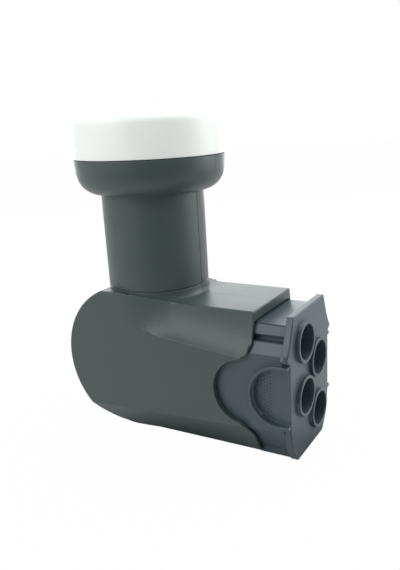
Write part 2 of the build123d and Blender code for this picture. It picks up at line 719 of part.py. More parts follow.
def casting_lid():
    """Flat lid of the circuit box, with holes for its screws and for two tuning screws."""
    lid = edge_ring(lid_outer_y, lid_inner_y)
    for x, z in lid_screw_places():
        lid -= rod((x, lid_outer_y - 1, z), "Y", LID_SCREW_R, LID_THICK + 2)
        lid -= rod((x, lid_outer_y - 1, z), "Y", LID_SCREW_HEAD_R, LID_SCREW_HEAD + 1)
    for x, z in resonator_places():
        lid -= rod((x, lid_outer_y - 1, z), "Y", TUNING_SCREW_R, LID_THICK + 2)
    return lid


def lid_screws():
    """Screws that hold the lid, each a head sunk flush in it and a shank."""
    screws = []
    for x, z in lid_screw_places():
        head = rod((x, lid_outer_y, z), "Y", LID_SCREW_HEAD_R, LID_SCREW_HEAD)
        shank = rod((x, lid_outer_y, z), "Y", LID_SCREW_R, LID_THICK + GASKET_THICK + LID_SCREW_BITE)
        screws.append(head + shank)
    return Compound(children=screws)


# Circuit board and its pieces

def resonator_places():
    """Places of the two dielectric pucks, as pairs of X and Z."""
    x = (box_inner_rear + box_inner_front) / 2 + RESONATOR_STEP
    middle = board_middle_drop() + RESONATOR_MIDDLE_STEP
    return [(x, level(middle - RESONATOR_PITCH / 2)), (x, level(middle + RESONATOR_PITCH / 2))]


def board_middle_drop():
    """Drop of the middle of the circuit box."""
    return (BOX_TOP_DROP + BOX_BASE_DROP) / 2


def circuit_board():
    """Board in the middle of the box, held on the casting's bosses."""
    board = block(
        (box_inner_rear + BOARD_EDGE_GAP, box_inner_front - BOARD_EDGE_GAP),
        (-BOARD_THICK / 2, BOARD_THICK / 2),
        (level(BOX_BASE_DROP - BOX_WALL - BOARD_EDGE_GAP), level(BOX_TOP_DROP + BOX_WALL + BOARD_EDGE_GAP)),
    )
    for x, z in lid_screw_places():
        board -= rod((x, -BOARD_THICK, z), "Y", LID_BOSS_R + BOARD_EDGE_GAP, BOARD_THICK * 2)
    for x, z in board_screw_places():
        board -= rod((x, -BOARD_THICK, z), "Y", BOARD_SCREW_R, BOARD_THICK * 2)
    return board


def board_screws():
    """Screws that hold the board on the bosses."""
    screws = []
    for x, z in board_screw_places():
        head = rod((x, -BOARD_THICK / 2 - BOARD_SCREW_HEAD, z), "Y", BOARD_SCREW_HEAD_R, BOARD_SCREW_HEAD)
        shank = rod((x, -BOARD_THICK / 2, z), "Y", BOARD_SCREW_R, BOARD_THICK + BOARD_SCREW_BITE)
        screws.append(head + shank)
    return Compound(children=screws)


def probe_y():
    """Height above the board's middle plane at which the probes are soldered."""
    return -BOARD_THICK / 2 - PROBE_R


def straight_probe():
    """Pin from the board straight across into the waveguide."""
    tip_x = GUIDE_BORE_R - PROBE_REACH
    return rod((tip_x, probe_y(), level(PROBE_UPPER_DROP)), "X", PROBE_R, box_inner_rear + PROBE_TAIL - tip_x)


def pin_along(points, bend_r, radius):
    """Round wire along straight runs with one rounded corner between each two."""
    path = FilletPolyline(*points, radius=bend_r)
    start = path @ 0
    section = Plane(start, z_dir=path % 0) * Circle(radius)
    return sweep(section, path=path)


def bent_probe():
    """Pin that enters the waveguide and turns across it, for the other polarisation."""
    z = level(PROBE_LOWER_DROP)
    turn_x = GUIDE_BORE_R - PROBE_REACH / 2
    corner = (turn_x, probe_y(), z)
    tip = (turn_x, probe_y() + PROBE_REACH, z)
    return pin_along([(box_inner_rear + PROBE_TAIL, probe_y(), z), corner, tip], CONTACT_BEND_R, PROBE_R)


def probe_bush(drop):
    """Plastic sleeve round a probe, where it passes the waveguide's wall."""
    start_x = sqrt(GUIDE_BORE_R**2 - (BUSH_R - probe_y()) ** 2)
    return pipe((start_x, probe_y(), level(drop)), "X", BUSH_R, PROBE_R, box_inner_rear - start_x)


# Sockets

def socket_body(y, z):
    """Threaded barrel with a collar outside the wall and a spigot through it."""
    collar_x = BOX_FRONT_X + WASHER_THICK
    body = rod((collar_x, y, z), "X", SOCKET_COLLAR_R, SOCKET_COLLAR)
    body += rod((collar_x, y, z), "X", SOCKET_R, SOCKET_LENGTH - WASHER_THICK)
    body += rod((box_inner_front - SOCKET_SPIGOT, y, z), "X", SOCKET_SPIGOT_R, collar_x - box_inner_front + SOCKET_SPIGOT)
    body -= rod((box_inner_front - SOCKET_SPIGOT - 1, y, z), "X", INSULATOR_R, BIG)
    body += insulator_ring(y, z)
    return body


def insulator_ring(y, z):
    """Inner lip at the barrel's mouth that keeps the insulator in."""
    front = BOX_FRONT_X + SOCKET_LENGTH
    return pipe((front - SOCKET_MOUTH_DEPTH, y, z), "X", SOCKET_R - 0.6, INSULATOR_R - 0.9, 0.8)


def socket_insulator(y, z):
    """Plastic core of the socket with the hole that takes the cable's wire."""
    start = box_inner_front - SOCKET_SPIGOT
    length = BOX_FRONT_X + SOCKET_LENGTH - SOCKET_MOUTH_DEPTH - start
    return pipe((start, y, z), "X", INSULATOR_R, CONTACT_BORE_R + 0.35, length)


def socket_contact(y, z):
    """Contact pin that leaves the socket's core, turns and stands on the board."""
    front = BOX_FRONT_X + SOCKET_LENGTH - SOCKET_MOUTH_DEPTH - 1.0
    turn_x = box_inner_front - SOCKET_SPIGOT - CONTACT_TURN
    side = -1 if y < 0 else 1
    board_y = side * BOARD_THICK / 2
    return pin_along([(front, y, z), (turn_x, y, z), (turn_x, board_y, z)], CONTACT_BEND_R, CONTACT_R)


def socket_washer(y, z):
    """Seal ring between the socket's collar and the casting."""
    return pipe((BOX_FRONT_X, y, z), "X", SOCKET_COLLAR_R, SOCKET_SPIGOT_R, WASHER_THICK)


# Small parts on the board

def standing(x, z, width, height, rise, side=-1):
    """Box that stands on one face of the board."""
    near = side * BOARD_THICK / 2
    far = near + side * rise
    return block((x - width / 2, x + width / 2), (min(near, far), max(near, far)), (z - height / 2, z + height / 2))


def oscillator_screen():
    """Folded screening can over the two dielectric pucks, open toward the lid."""
    x = resonator_places()[0][0]
    z = (resonator_places()[0][1] + resonator_places()[1][1]) / 2
    width = 2 * (RESONATOR_R + SCREEN_SIDE_GAP)
    height = RESONATOR_PITCH + 2 * (RESONATOR_R + SCREEN_FOOT_GAP)
    outer = standing(x, z, width, height, SCREEN_RISE)
    half_x = width / 2 - SCREEN_WALL
    half_z = height / 2 - SCREEN_WALL
    inner = block((x - half_x, x + half_x), (-BIG, 0), (z - half_z, z + half_z))
    return outer - inner


def amplifier_transistors():
    """Low noise transistors beside the probes."""
    x = box_inner_rear + PROBE_TAIL + TRANSISTOR_STEP
    drops = (PROBE_UPPER_DROP, PROBE_LOWER_DROP)
    zs = [level(drop + side * TRANSISTOR_HEIGHT) for drop in drops for side in (-1, 1)]
    return Compound(children=[standing(x, z, TRANSISTOR_WIDTH, TRANSISTOR_HEIGHT, TRANSISTOR_RISE) for z in zs])


def switch_chip():
    """Switch matrix chip on the board's far face, beside the sockets' contacts."""
    x = box_inner_front - BACK_PARTS_X
    return standing(x, level(board_middle_drop() - CHIP_LIFT), CHIP_SIDE, CHIP_SIDE, CHIP_RISE, side=1)


def voltage_regulator():
    """Voltage regulator on the board's far face, with its tab to the casting's wall."""
    x = box_inner_front - BACK_PARTS_X
    z = level(board_middle_drop() + REGULATOR_STEP)
    return standing(x, z, REGULATOR_WIDTH, REGULATOR_HEIGHT, REGULATOR_RISE, side=1)


def write_all():
    """Build each node and write it."""
    whole = housing()
    write("shell_near", whole & block((-BIG, BIG), (-BIG, 0), (-BIG, BIG)))
    write("shell_far", whole & block((-BIG, BIG), (0, BIG), (-BIG, BIG)))
    write("horn_cap", horn_cap())
    write("cap_seal", cap_seal())
    write("weather_cover", weather_cover())
    write("feed_casting", feed_casting())
    write("casting_lid", casting_lid())
    write("lid_gasket", lid_gasket())
    write("lid_screws", lid_screws())
    write("circuit_board", circuit_board())
    write("board_screws", board_screws())
    write("probe_straight", straight_probe())
    write("probe_bent", bent_probe())
    write("probe_bushes", Compound(children=[probe_bush(d) for d in (PROBE_UPPER_DROP, PROBE_LOWER_DROP)]))
    for i, (y, z) in enumerate(socket_places(), start=1):
        write(f"f_socket_{i}", socket_body(y, z))
        write(f"socket_insulator_{i}", socket_insulator(y, z))
        write(f"socket_contact_{i}", socket_contact(y, z))
    write("socket_seals", Compound(children=[socket_washer(y, z) for y, z in socket_places()]))
    pucks = [
        rod((x, -BOARD_THICK / 2 - RESONATOR_HEIGHT, z), "Y", RESONATOR_R, RESONATOR_HEIGHT)
        for x, z in resonator_places()
    ]
    write("dielectric_resonators", Compound(children=pucks))
    tuning = [
        rod((x, lid_outer_y - TUNING_SCREW_PROUD, z), "Y", TUNING_SCREW_R, TUNING_SCREW_LENGTH)
        for x, z in resonator_places()
    ]
    write("tuning_screws", Compound(children=tuning))
    write("oscillator_screen", oscillator_screen())
    write("amplifier_transistors", amplifier_transistors())
    write("switch_chip", switch_chip())
    write("voltage_regulator", voltage_regulator())


os.makedirs("parts", exist_ok=True)
write_all()
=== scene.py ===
"""Looks of a satellite low noise block: moulded housing, white cap, sliding socket cover.

Each piece is a surface worked out with numpy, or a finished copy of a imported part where
its shape is right already. Lengths in the functions are millimetres of the row frame.
"""

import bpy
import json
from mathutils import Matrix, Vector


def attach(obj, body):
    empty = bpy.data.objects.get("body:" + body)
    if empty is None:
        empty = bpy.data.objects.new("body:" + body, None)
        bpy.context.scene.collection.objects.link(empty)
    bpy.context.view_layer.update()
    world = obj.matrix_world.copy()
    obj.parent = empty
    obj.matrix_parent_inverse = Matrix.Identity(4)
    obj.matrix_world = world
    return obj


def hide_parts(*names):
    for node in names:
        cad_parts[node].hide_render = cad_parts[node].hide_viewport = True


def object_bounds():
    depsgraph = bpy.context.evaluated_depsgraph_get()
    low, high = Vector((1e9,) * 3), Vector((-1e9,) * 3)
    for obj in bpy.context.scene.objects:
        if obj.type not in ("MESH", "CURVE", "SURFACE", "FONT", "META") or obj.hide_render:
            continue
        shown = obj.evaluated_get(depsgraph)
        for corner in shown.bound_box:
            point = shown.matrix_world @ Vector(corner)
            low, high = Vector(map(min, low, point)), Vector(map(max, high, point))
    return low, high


bl_info = {
    "name": "Satellite low noise block looks",
    "version": (1, 0, 0),
    "blender": (4, 5, 0),
    "location": "View3D > Sidebar > Head",
    "description": "Builds the housing, cap, cover and stage round the packed frame",
    "category": "Object",
}

import json
import math

import bmesh
import bpy
import numpy as np
from bpy.props import FloatProperty, FloatVectorProperty, IntProperty, PointerProperty
from mathutils import Matrix

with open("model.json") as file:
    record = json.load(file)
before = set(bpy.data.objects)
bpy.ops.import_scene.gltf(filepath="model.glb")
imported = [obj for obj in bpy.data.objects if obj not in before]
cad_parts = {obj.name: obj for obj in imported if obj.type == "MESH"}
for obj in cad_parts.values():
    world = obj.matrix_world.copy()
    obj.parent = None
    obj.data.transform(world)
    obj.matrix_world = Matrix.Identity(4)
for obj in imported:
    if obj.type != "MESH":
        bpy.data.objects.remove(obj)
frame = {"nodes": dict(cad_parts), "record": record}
CAD_BOX = [list(corner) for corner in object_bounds()]

MM = 0.001
FLOOR_Z = CAD_BOX[0][2] / MM

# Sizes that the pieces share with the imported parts, in millimetres
NECK_R = 20.0
NECK_TOP = 18.25
NECK_FOOT = -18.25
TOP_Z = -21.45
BASE_Z = -76.95
PARTING_Z = 31.45
RIM_X = 50.4
NECK_WALL = 2.2
CAP_R = 29.15
CAP_SIDE = 12.6
CAP_TAPER = 0.3
CAP_EDGE_R = 3.0
CAP_DOME = 2.8
CAP_WALL = 1.5
CAP_GAP = 0.22
CAP_BORE_GAP = 0.35
CAP_BORE_DROP = 3.5
LIP_R = 27.4
LIP_TOP = 36.05
BOWL_R = 29.0
BOWL_FOOT_R = 21.4
BOWL_BAND = 3.0
BOWL_BORE_R = 25.6
BOWL_BORE_END = 26.0
BOWL_DRAFT = 0.2
BOWL_BEND_IN = 0.5
BOWL_BEND_UP = 1.5
BOWL_FILLET = 0.3
NECK_SUNK = -22.6
FOOT_RUN = 0.9
FOOT_GROOVE = 0.32
GROOVE_RISES = (0.12, 0.3, 0.6)
SEAM_WIDTH = 0.3
SEAM_CROWDING = 1.7
BOWL_SEAM_SHARE = 0.15
CUT_RISE = 0.01
RAMP_START = 0.0
RAMP_END = 17.5
RAMP_BEND_REAR = 0.42
RAMP_BEND_FRONT = 0.6
RAMP_CUTS = (-8.0, -5.0, -2.0, 1.0, 4.0, 7.0, 10.0, 13.0, 16.0, 19.0, 22.0, 25.0, 28.0, 34.0, 42.0)
FADE_Z = -32.0
SCALLOP_X = 48.2
SCALLOP_Z = -50.45
SCALLOP_R = 12.5
SCALLOP_BAND = 0.8
SCALLOP_OUT = 19.0
SCALLOP_EDGE_SHARE = 0.3
SEAM_EDGE_SHARE = 0.05
HOUSING_HALF = 22.0
RIM_TOP_HALF = 16.3
FLARE_START = -4.0
FLARE_FULL = 21.0
FLARE_HOLLOW = 1.3
FLANK_SKIN = 0.8
RIDGE_REAR = 10.2
RIDGE_FRONT = 16.3
PLATE_BACK = 62.3
PLATE_FRONT = 64.3
PLATE_EXTRA = 0.7
PLATE_RIM = 0.65
COVER_EDGE = 0.3
DRAWER_TOP = -36.0
DRAWER_HALF = 13.0
THUMB_X = 61.0
THUMB_Z = -50.75
PACKED_FLOOR = 16.95
PACKED_SLOPE = 0.172
THUMB_FLOOR = 18.1
THUMB_SLOPE = 0.07
THUMB_R = 10.8
GRIP_R = 11.3
GRIP_BAND = 1.2
GRIP_OUT = 20.8
DOT_COLUMNS = 5
DOT_ROWS = 8
DOT_ROW_STRETCH = 1.1
DOT_SUNK = 0.2
DOT_SIDES = 10
DOT_X = 52.2
DOT_PITCH = 1.2
DOT_REACH = 10.0
DOT_R = 0.34
DOT_H = 0.3

# Edges: the share of its room that a rounding takes, and angles in degrees
EDGE_ROOM = 0.45
FLAT_ANGLE = 0.6
SHARP_ANGLE = 32.0
ROUND_ANGLE = 24.0

# Stage: the floor's radii and the lamps' aim in millimetres, its painted shade and shadow in metres, angles
# in degrees
FLOOR_GLOW = 0.985
FLOOR_CORE = 40.0
FLOOR_R = 2500.0
DARK_CORE = 28.0
DARK_EDGE = 64.0
# Painted shade: the floor's glow seen in gloss fades out toward this side of the floor
PAINTED_SHADE_SIDE = (0.58, -0.80, 0.0)
PAINTED_SHADE_NEAR = 0.05
PAINTED_SHADE_FAR = 0.30
# Painted shadow: the floor's glow seen in gloss fades out under the object
SHADE_SCALE = (0.4, 1.0, 0.0)
SHADE_SHIFT = (-0.009, 0.0, 0.0)
SHADE_CORE = 0.012
SHADE_EDGE = 0.034
LAMP_COLOUR = (0.96, 1.0, 0.975)
LAMP_AIM = (15.0, 0.0, -20.0)
ROOM_COLOUR = (0.96, 0.985, 1.0, 1.0)


# Sizes and colours that a user would change

class HeadSizes(bpy.types.PropertyGroup):
    edge_radius: FloatProperty(
        name="Edge radius", description="Rounding of the moulded edges", default=0.4 * MM, unit="LENGTH"
    )
    seam_depth: FloatProperty(
        name="Seam depth", description="Depth of the joint line of the two halves",
        default=0.12 * MM, unit="LENGTH",
    )
    turn_steps: IntProperty(
        name="Turn steps", description="Columns round a full turn of a turned piece", default=192, min=24
    )


class HeadColours(bpy.types.PropertyGroup):
    housing: FloatVectorProperty(
        name="Housing", description="Grey green of the housing halves",
        subtype="COLOR", default=(0.043, 0.062, 0.060),
    )
    cover: FloatVectorProperty(
        name="Cover", description="Bluish grey of the sliding cover",
        subtype="COLOR", default=(0.045, 0.063, 0.073),
    )
    cap: FloatVectorProperty(
        name="Cap", description="Off white of the horn's cap",
        subtype="COLOR", default=(0.90, 0.915, 0.875),
    )
    floor: FloatVectorProperty(
        name="Floor", description="Floor as seen by what it lights",
        subtype="COLOR", default=(0.55, 0.55, 0.55),
    )


class StageSettings(bpy.types.PropertyGroup):
    camera_place: FloatVectorProperty(
        name="Camera place", description="Where the camera stands", unit="LENGTH",
        default=(142.38 * MM, -200.39 * MM, 44.66 * MM),
    )
    camera_right: FloatVectorProperty(
        name="Camera right", description="Direction to the picture's right",
        default=(0.87907, 0.47447, -0.04590),
    )
    camera_up: FloatVectorProperty(
        name="Camera up", description="Direction to the picture's top",
        default=(-0.09098, 0.26152, 0.96090),
    )
    lens: FloatProperty(name="Lens", description="Focal length in millimetres", default=39.006)
    shift_x: FloatProperty(name="Shift X", description="Camera shift across", default=-0.04623)
    shift_y: FloatProperty(name="Shift Y", description="Camera shift up", default=0.0120)
    dark_side: FloatVectorProperty(
        name="Dark side", description="Direction in which the surround is dark",
        default=(0.58, -0.80, 0.12),
    )
    room_level: FloatProperty(
        name="Room level", description="Strength of the bright surround", default=0.92, min=0.0
    )
    dark_level: FloatProperty(
        name="Dark level", description="Strength of the dark side", default=0.38, min=0.0
    )
    lamp_level: FloatProperty(
        name="Lamp level", description="Share of the lamps' full power", default=1.0, min=0.0
    )


# Shader maths in written form

class Wire:
    """A shader socket that takes part in written maths; each operator adds one Math node."""

    def __init__(self, finish, socket):
        self.finish = finish
        self.socket = socket

    def maths(self, operation, first, second):
        """Result of one Math node on two numbers or wires."""
        return self.finish.node("ShaderNodeMath", {"operation": operation}, {0: first, 1: second})

    def __add__(self, other):
        return self.maths("ADD", self, other)

    def __radd__(self, other):
        return self.maths("ADD", other, self)

    def __sub__(self, other):
        return self.maths("SUBTRACT", self, other)

    def __rsub__(self, other):
        return self.maths("SUBTRACT", other, self)

    def __mul__(self, other):
        return self.maths("MULTIPLY", self, other)

    def __rmul__(self, other):
        return self.maths("MULTIPLY", other, self)

class Finish:
    """One material while its nodes are added."""

    def __init__(self, name, **constants):
        self.material = bpy.data.materials.new(name)
        self.material.use_nodes = True
        self.tree = self.material.node_tree
        self.shader = self.tree.nodes["Principled BSDF"]
        for socket, value in constants.items():
            self.shader.inputs[socket.replace("_", " ")].default_value = value

    def node(self, kind, settings=None, values=None, output=0):
        """Adds a node: its settings first, then the values or links of its sockets."""
        made = self.tree.nodes.new(kind)
        for key, value in (settings or {}).items():
            if key == "stops":
                ramp = made.color_ramp.elements
                while len(ramp) < len(value):
                    ramp.new(0.5)
                for element, (position, colour) in zip(ramp, value):
                    element.position = position
                    element.color = (*colour, 1.0)
            else:
                setattr(made, key, value)
        for key, value in (values or {}).items():
            if isinstance(value, Wire):
                self.tree.links.new(value.socket, made.inputs[key])
            else:
                made.inputs[key].default_value = value
        return Wire(self, made.outputs[output])

    def places(self, scale=(1.0, 1.0, 1.0)):
        """Object coordinates, scaled along each axis."""
        raw = self.node("ShaderNodeTexCoord", output="Object")
        return self.node("ShaderNodeMapping", {}, {"Vector": raw, "Scale": scale})

    def noise(self, scale, detail=2.0, roughness=0.5, stretch=(1.0, 1.0, 1.0)):
        """Noise from 0 to 1 with a number of cells to the metre."""
        values = {"Vector": self.places(stretch), "Scale": scale, "Detail": detail, "Roughness": roughness}
        return self.node("ShaderNodeTexNoise", {}, values, "Fac")

    def ease(self, wire, low, high):
        """Smooth share from 0 to 1 while a wire goes from low to high."""
        values = {"Value": wire, "From Min": low, "From Max": high}
        return self.node("ShaderNodeMapRange", {"interpolation_type": "SMOOTHSTEP"}, values, "Result")

    def tint(self, share, low, high):
        """Colour between two colours by a share from 0 to 1."""
        settings = {"data_type": "RGBA"}
        mixer = self.node("ShaderNodeMix", settings, {0: share}, 2).socket.node
        mixer.inputs[6].default_value = (*low, 1.0)
        mixer.inputs[7].default_value = (*high, 1.0)
        return Wire(self, mixer.outputs[2])

    def bump(self, height, distance, strength=1.0, under=None):
        """Surface normal from a height, with a height unit in metres."""
        values = {"Height": height, "Distance": distance, "Strength": strength}
        if under is not None:
            values["Normal"] = under
        return self.node("ShaderNodeBump", {}, values)

    def feed(self, socket, wire):
        """Links a wire into the shader."""
        self.tree.links.new(wire.socket, self.shader.inputs[socket])

    def rounded(self, radius):
        """Surface normal that rounds sharp edges over a radius in metres."""
        return self.node("ShaderNodeBevel", {"samples": 6}, {"Radius": radius})


def shade(colour, factor):
    """Colour with each channel times a factor."""
    return tuple(min(1.0, channel * factor) for channel in colour)


def moulded_plastic(name, colour, roughness, grain, edge=None, milky=0.0):
    """Satin moulded plastic: fine spark grain, soft mottling and slightly uneven gloss;
    milky is the share of light that spreads below its surface."""
    finish = Finish(name, Roughness=roughness, Specular_IOR_Level=0.5, Subsurface_Weight=milky)
    finish.shader.inputs["Subsurface Radius"].default_value = (0.006, 0.006, 0.006)
    finish.shader.inputs["Subsurface Scale"].default_value = 1.0
    mottle = finish.noise(55.0, 3.0, 0.55)
    flow = finish.noise(14.0, 2.0, 0.5, (1.0, 1.0, 0.35))
    patches = mottle * 0.6 + flow * 0.4
    finish.feed("Base Color", finish.tint(patches, shade(colour, 0.90), shade(colour, 1.10)))
    finish.feed("Roughness", (flow - 0.5) * 0.12 + (mottle - 0.5) * 0.08 + roughness)
    fine = finish.noise(2600.0, 2.0, 0.6)
    soft = finish.noise(420.0, 2.0, 0.5)
    under = finish.rounded(edge) if edge else None
    finish.feed("Normal", finish.bump(fine * 0.7 + soft * 0.3, grain, 1.0, under))
    return finish.material


def soft_rubber(name, colour):
    """Dark rubber with a dusty, dull surface."""
    finish = Finish(name, Roughness=0.8, Specular_IOR_Level=0.35)
    dust = finish.noise(300.0, 4.0, 0.6)
    finish.feed("Base Color", finish.tint(dust, shade(colour, 0.8), shade(colour, 1.6)))
    finish.feed("Normal", finish.bump(dust, 0.00004))
    return finish.material


def cast_metal(name, colour):
    """Die cast aluminium: dull, flowed skin with faint pits."""
    finish = Finish(name, Metallic=1.0, Roughness=0.45)
    skin = finish.noise(180.0, 4.0, 0.6)
    pits = finish.noise(1500.0, 2.0, 0.7)
    finish.feed("Base Color", finish.tint(skin, shade(colour, 0.82), shade(colour, 1.08)))
    finish.feed("Roughness", skin * 0.25 + 0.34)
    finish.feed("Normal", finish.bump(skin * 0.5 + pits * 0.5, 0.00006, 1.0, finish.rounded(0.0004)))
    return finish.material


def turned_metal(name, colour, roughness, lines):
    """Turned or drawn metal with fine tool lines along one axis and a worn sheen."""
    finish = Finish(name, Metallic=1.0, Roughness=roughness)
    tool = finish.noise(900.0, 2.0, 0.5, lines)
    wear = finish.noise(160.0, 3.0, 0.6)
    finish.feed("Base Color", finish.tint(wear, shade(colour, 0.86), shade(colour, 1.06)))
    finish.feed("Roughness", tool * 0.14 + wear * 0.10 + (roughness - 0.10))
    finish.feed("Normal", finish.bump(tool, 0.00002, 1.0, finish.rounded(0.00015)))
    return finish.material


def board_laminate(name, colour):
    """Green coated laminate with a weave below the lacquer and fine copper tracks."""
    finish = Finish(name, Roughness=0.32, Coat_Weight=0.4, Coat_Roughness=0.15)
    places = finish.places()
    tracks = finish.node(
        "ShaderNodeTexBrick", {"offset": 0.5}, {"Vector": places, "Scale": 120.0, "Mortar Size": 0.03}, "Fac"
    )
    weave = finish.node("ShaderNodeTexWave", {}, {"Vector": places, "Scale": 600.0, "Distortion": 1.0}, "Fac")
    finish.feed("Base Color", finish.tint(tracks, colour, (0.20, 0.36, 0.12)))
    finish.feed("Normal", finish.bump(tracks * 0.8 + weave * 0.2, 0.00003))
    return finish.material


def plain_solid(name, colour, roughness, speckle):
    """Turned or pressed solid, such as ceramic or a white core, with a faint speckle."""
    finish = Finish(name, Roughness=roughness)
    grain = finish.noise(speckle, 3.0, 0.6)
    finish.feed("Base Color", finish.tint(grain, shade(colour, 0.88), shade(colour, 1.08)))
    finish.feed("Roughness", grain * 0.12 + (roughness - 0.06))
    finish.feed("Normal", finish.bump(grain, 0.00002, 1.0, finish.rounded(0.0002)))
    return finish.material


def make_finishes(colours):
    """Every material by its slot in the record."""
    return {
        "housing_plastic": moulded_plastic("housing_plastic", tuple(colours.housing), 0.42, 0.000034, 0.0004),
        "cover_plastic": moulded_plastic("cover_plastic", tuple(colours.cover), 0.42, 0.000034, 0.0004),
        "cap_plastic": moulded_plastic("cap_plastic", tuple(colours.cap), 0.38, 0.000008, milky=0.3),
        "rubber": soft_rubber("rubber", (0.02, 0.02, 0.02)),
        "cast_metal": cast_metal("cast_metal", (0.60, 0.60, 0.59)),
        "steel": turned_metal("steel", (0.58, 0.58, 0.58), 0.35, (1.0, 1.0, 1.0)),
        "board": board_laminate("board", (0.02, 0.16, 0.06)),
        "contact_metal": turned_metal("contact_metal", (0.78, 0.58, 0.25), 0.28, (1.0, 1.0, 1.0)),
        "white_plastic": plain_solid("white_plastic", (0.80, 0.79, 0.74), 0.45, 700.0),
        "ceramic": plain_solid("ceramic", (0.55, 0.46, 0.32), 0.6, 1500.0),
        "tin_sheet": turned_metal("tin_sheet", (0.66, 0.66, 0.63), 0.3, (0.05, 1.0, 1.0)),
        "chip_plastic": plain_solid("chip_plastic", (0.02, 0.02, 0.02), 0.5, 2500.0),
        "nickel": turned_metal("nickel", (0.70, 0.67, 0.60), 0.24, (6.0, 0.4, 0.4)),
    }


# Surfaces as arrays of points

def grid_faces(rows, columns, start=0, closed=False):
    """Quads of a grid of points; closed joins the last column to the first."""
    i, j = np.meshgrid(np.arange(rows - 1), np.arange(columns - (0 if closed else 1)), indexing="ij")
    k = (j + 1) % columns
    corners = (i * columns + j, i * columns + k, (i + 1) * columns + k, (i + 1) * columns + j)
    return np.stack(corners, -1).reshape(-1, 4) + start


def turn_profile(profile, angles, closed=True):
    """Turned surface: x = r cos a, y = r sin a and z = height, for each profile point and angle."""
    r, z = np.asarray(profile, float).T[:, :, None]
    x = r * np.cos(angles)
    y = r * np.sin(angles)
    points = np.stack((x, y, np.broadcast_to(z, x.shape)), -1)
    return points.reshape(-1, 3), grid_faces(len(profile), len(angles), 0, closed)


def round_corners(points, radii, steps=6):
    """Profile with each inner corner replaced by an arc: the tangent length is r times the
    tangent of half the turn, and the arc is a quadratic blend between its two tangent points."""
    points = np.asarray(points, float)
    share = np.linspace(0.0, 1.0, steps)[:, None]
    made = [points[:1]]
    for before, corner, after, radius in zip(points[:-2], points[1:-1], points[2:], radii):
        into = (before - corner) / np.linalg.norm(before - corner)
        out = (after - corner) / np.linalg.norm(after - corner)
        half_turn = (math.pi - math.acos(float(np.clip(into @ out, -1.0, 1.0)))) / 2
        reach = radius * math.tan(half_turn)
        start = corner + into * reach
        end = corner + out * reach
        made.append((1 - share) ** 2 * start + 2 * share * (1 - share) * corner + share**2 * end)
    made.append(points[-1:])
    return np.concatenate(made)


def add_piece(name, points, faces, material, body, slot, *nodes):
    """Makes a mesh object at the origin from points in millimetres, closed and facing outwards."""
    mesh = bpy.data.meshes.new(name)
    corners = faces if isinstance(faces, list) else faces.tolist()
    mesh.from_pydata((np.asarray(points) * MM).tolist(), [], corners)
    work = bmesh.new()
    work.from_mesh(mesh)
    bmesh.ops.remove_doubles(work, verts=work.verts, dist=0.002 * MM)
    bmesh.ops.recalc_face_normals(work, faces=work.faces)
    work.to_mesh(mesh)
    work.free()
    return place_piece(name, mesh, material, body, slot, *nodes)


def place_piece(name, mesh, material, body, slot, *nodes):
    """Links a finished mesh as a piece that rides on a body and stands for CAD nodes."""
    mesh.shade_smooth()
    mesh.set_sharp_from_angle(angle=math.radians(SHARP_ANGLE))
    mesh.materials.clear()
    mesh.materials.append(material)
    piece = bpy.data.objects.new(name, mesh)
    bpy.context.scene.collection.objects.link(piece)
    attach(piece, body)
    if nodes:
        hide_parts(*nodes)
    return piece


def merged_copy(node, keep_below=None, cuts=()):
    """Copy of a CAD node's mesh with its loose triangles merged and its flat faces joined.
    What lies above a height is cut off and the cut closed; cuts across X add rows of points."""
    mesh = frame["nodes"][node].data.copy()
    work = bmesh.new()
    work.from_mesh(mesh)
    bmesh.ops.remove_doubles(work, verts=work.verts, dist=0.001 * MM)
    if keep_below is not None:
        everything = [*work.verts, *work.edges, *work.faces]
        bmesh.ops.bisect_plane(
            work, geom=everything, plane_co=(0, 0, keep_below * MM), plane_no=(0, 0, 1), clear_outer=True
        )
        bmesh.ops.holes_fill(work, edges=[edge for edge in work.edges if edge.is_boundary], sides=0)
    bmesh.ops.dissolve_limit(work, angle_limit=math.radians(FLAT_ANGLE), verts=work.verts, edges=work.edges)
    for x in cuts:
        everything = [*work.verts, *work.edges, *work.faces]
        bmesh.ops.bisect_plane(work, geom=everything, plane_co=(x * MM, 0, 0), plane_no=(1, 0, 0))
    work.to_mesh(mesh)
    work.free()
    mesh.name = node + "_skin"
    return mesh


def read_array(data, name, width, kind=float):
    """One property of a mesh's elements as an array, a row to each element."""
    values = np.empty(len(data) * width, kind)
    data.foreach_get(name, values)
    return values.reshape(-1, width) if width > 1 else values


def move_points(mesh, change):
    """Replaces a mesh's points, in millimetres, by what a function makes of them."""
    points = change(*(read_array(mesh.vertices, "co", 3) / MM).T)
    mesh.vertices.foreach_set("co", (np.stack(points, -1) * MM).ravel())
    mesh.update()


def weigh_edges(mesh, width, share):
    """Bevel weight of each edge that turns enough: min(1, room l / w), where l is the shortest
    edge at either end, times a share by the place of the edge's middle."""
    ends = read_array(mesh.edges, "vertices", 2, int)
    places = read_array(mesh.vertices, "co", 3) / MM
    length = np.linalg.norm(places[ends[:, 0]] - places[ends[:, 1]], axis=1)
    shortest = np.full(len(places), np.inf)
    np.minimum.at(shortest, ends.ravel(), np.repeat(length, 2))
    face_of = np.repeat(np.arange(len(mesh.polygons)), read_array(mesh.polygons, "loop_total", 1, int))
    order = np.argsort(read_array(mesh.loops, "edge_index", 1, int), kind="stable")
    normals = read_array(mesh.polygons, "normal", 3)[face_of[order].reshape(-1, 2)]
    turn = np.degrees(np.arccos(np.clip((normals[:, 0] * normals[:, 1]).sum(1), -1.0, 1.0)))
    weight = np.minimum(1.0, EDGE_ROOM * shortest[ends].min(1) / width)
    weight = np.where(turn > ROUND_ANGLE, weight * share(*places[ends].mean(1).T), 0.0)
    mesh.attributes.new("bevel_weight_edge", "FLOAT", "EDGE").data.foreach_set("value", weight)


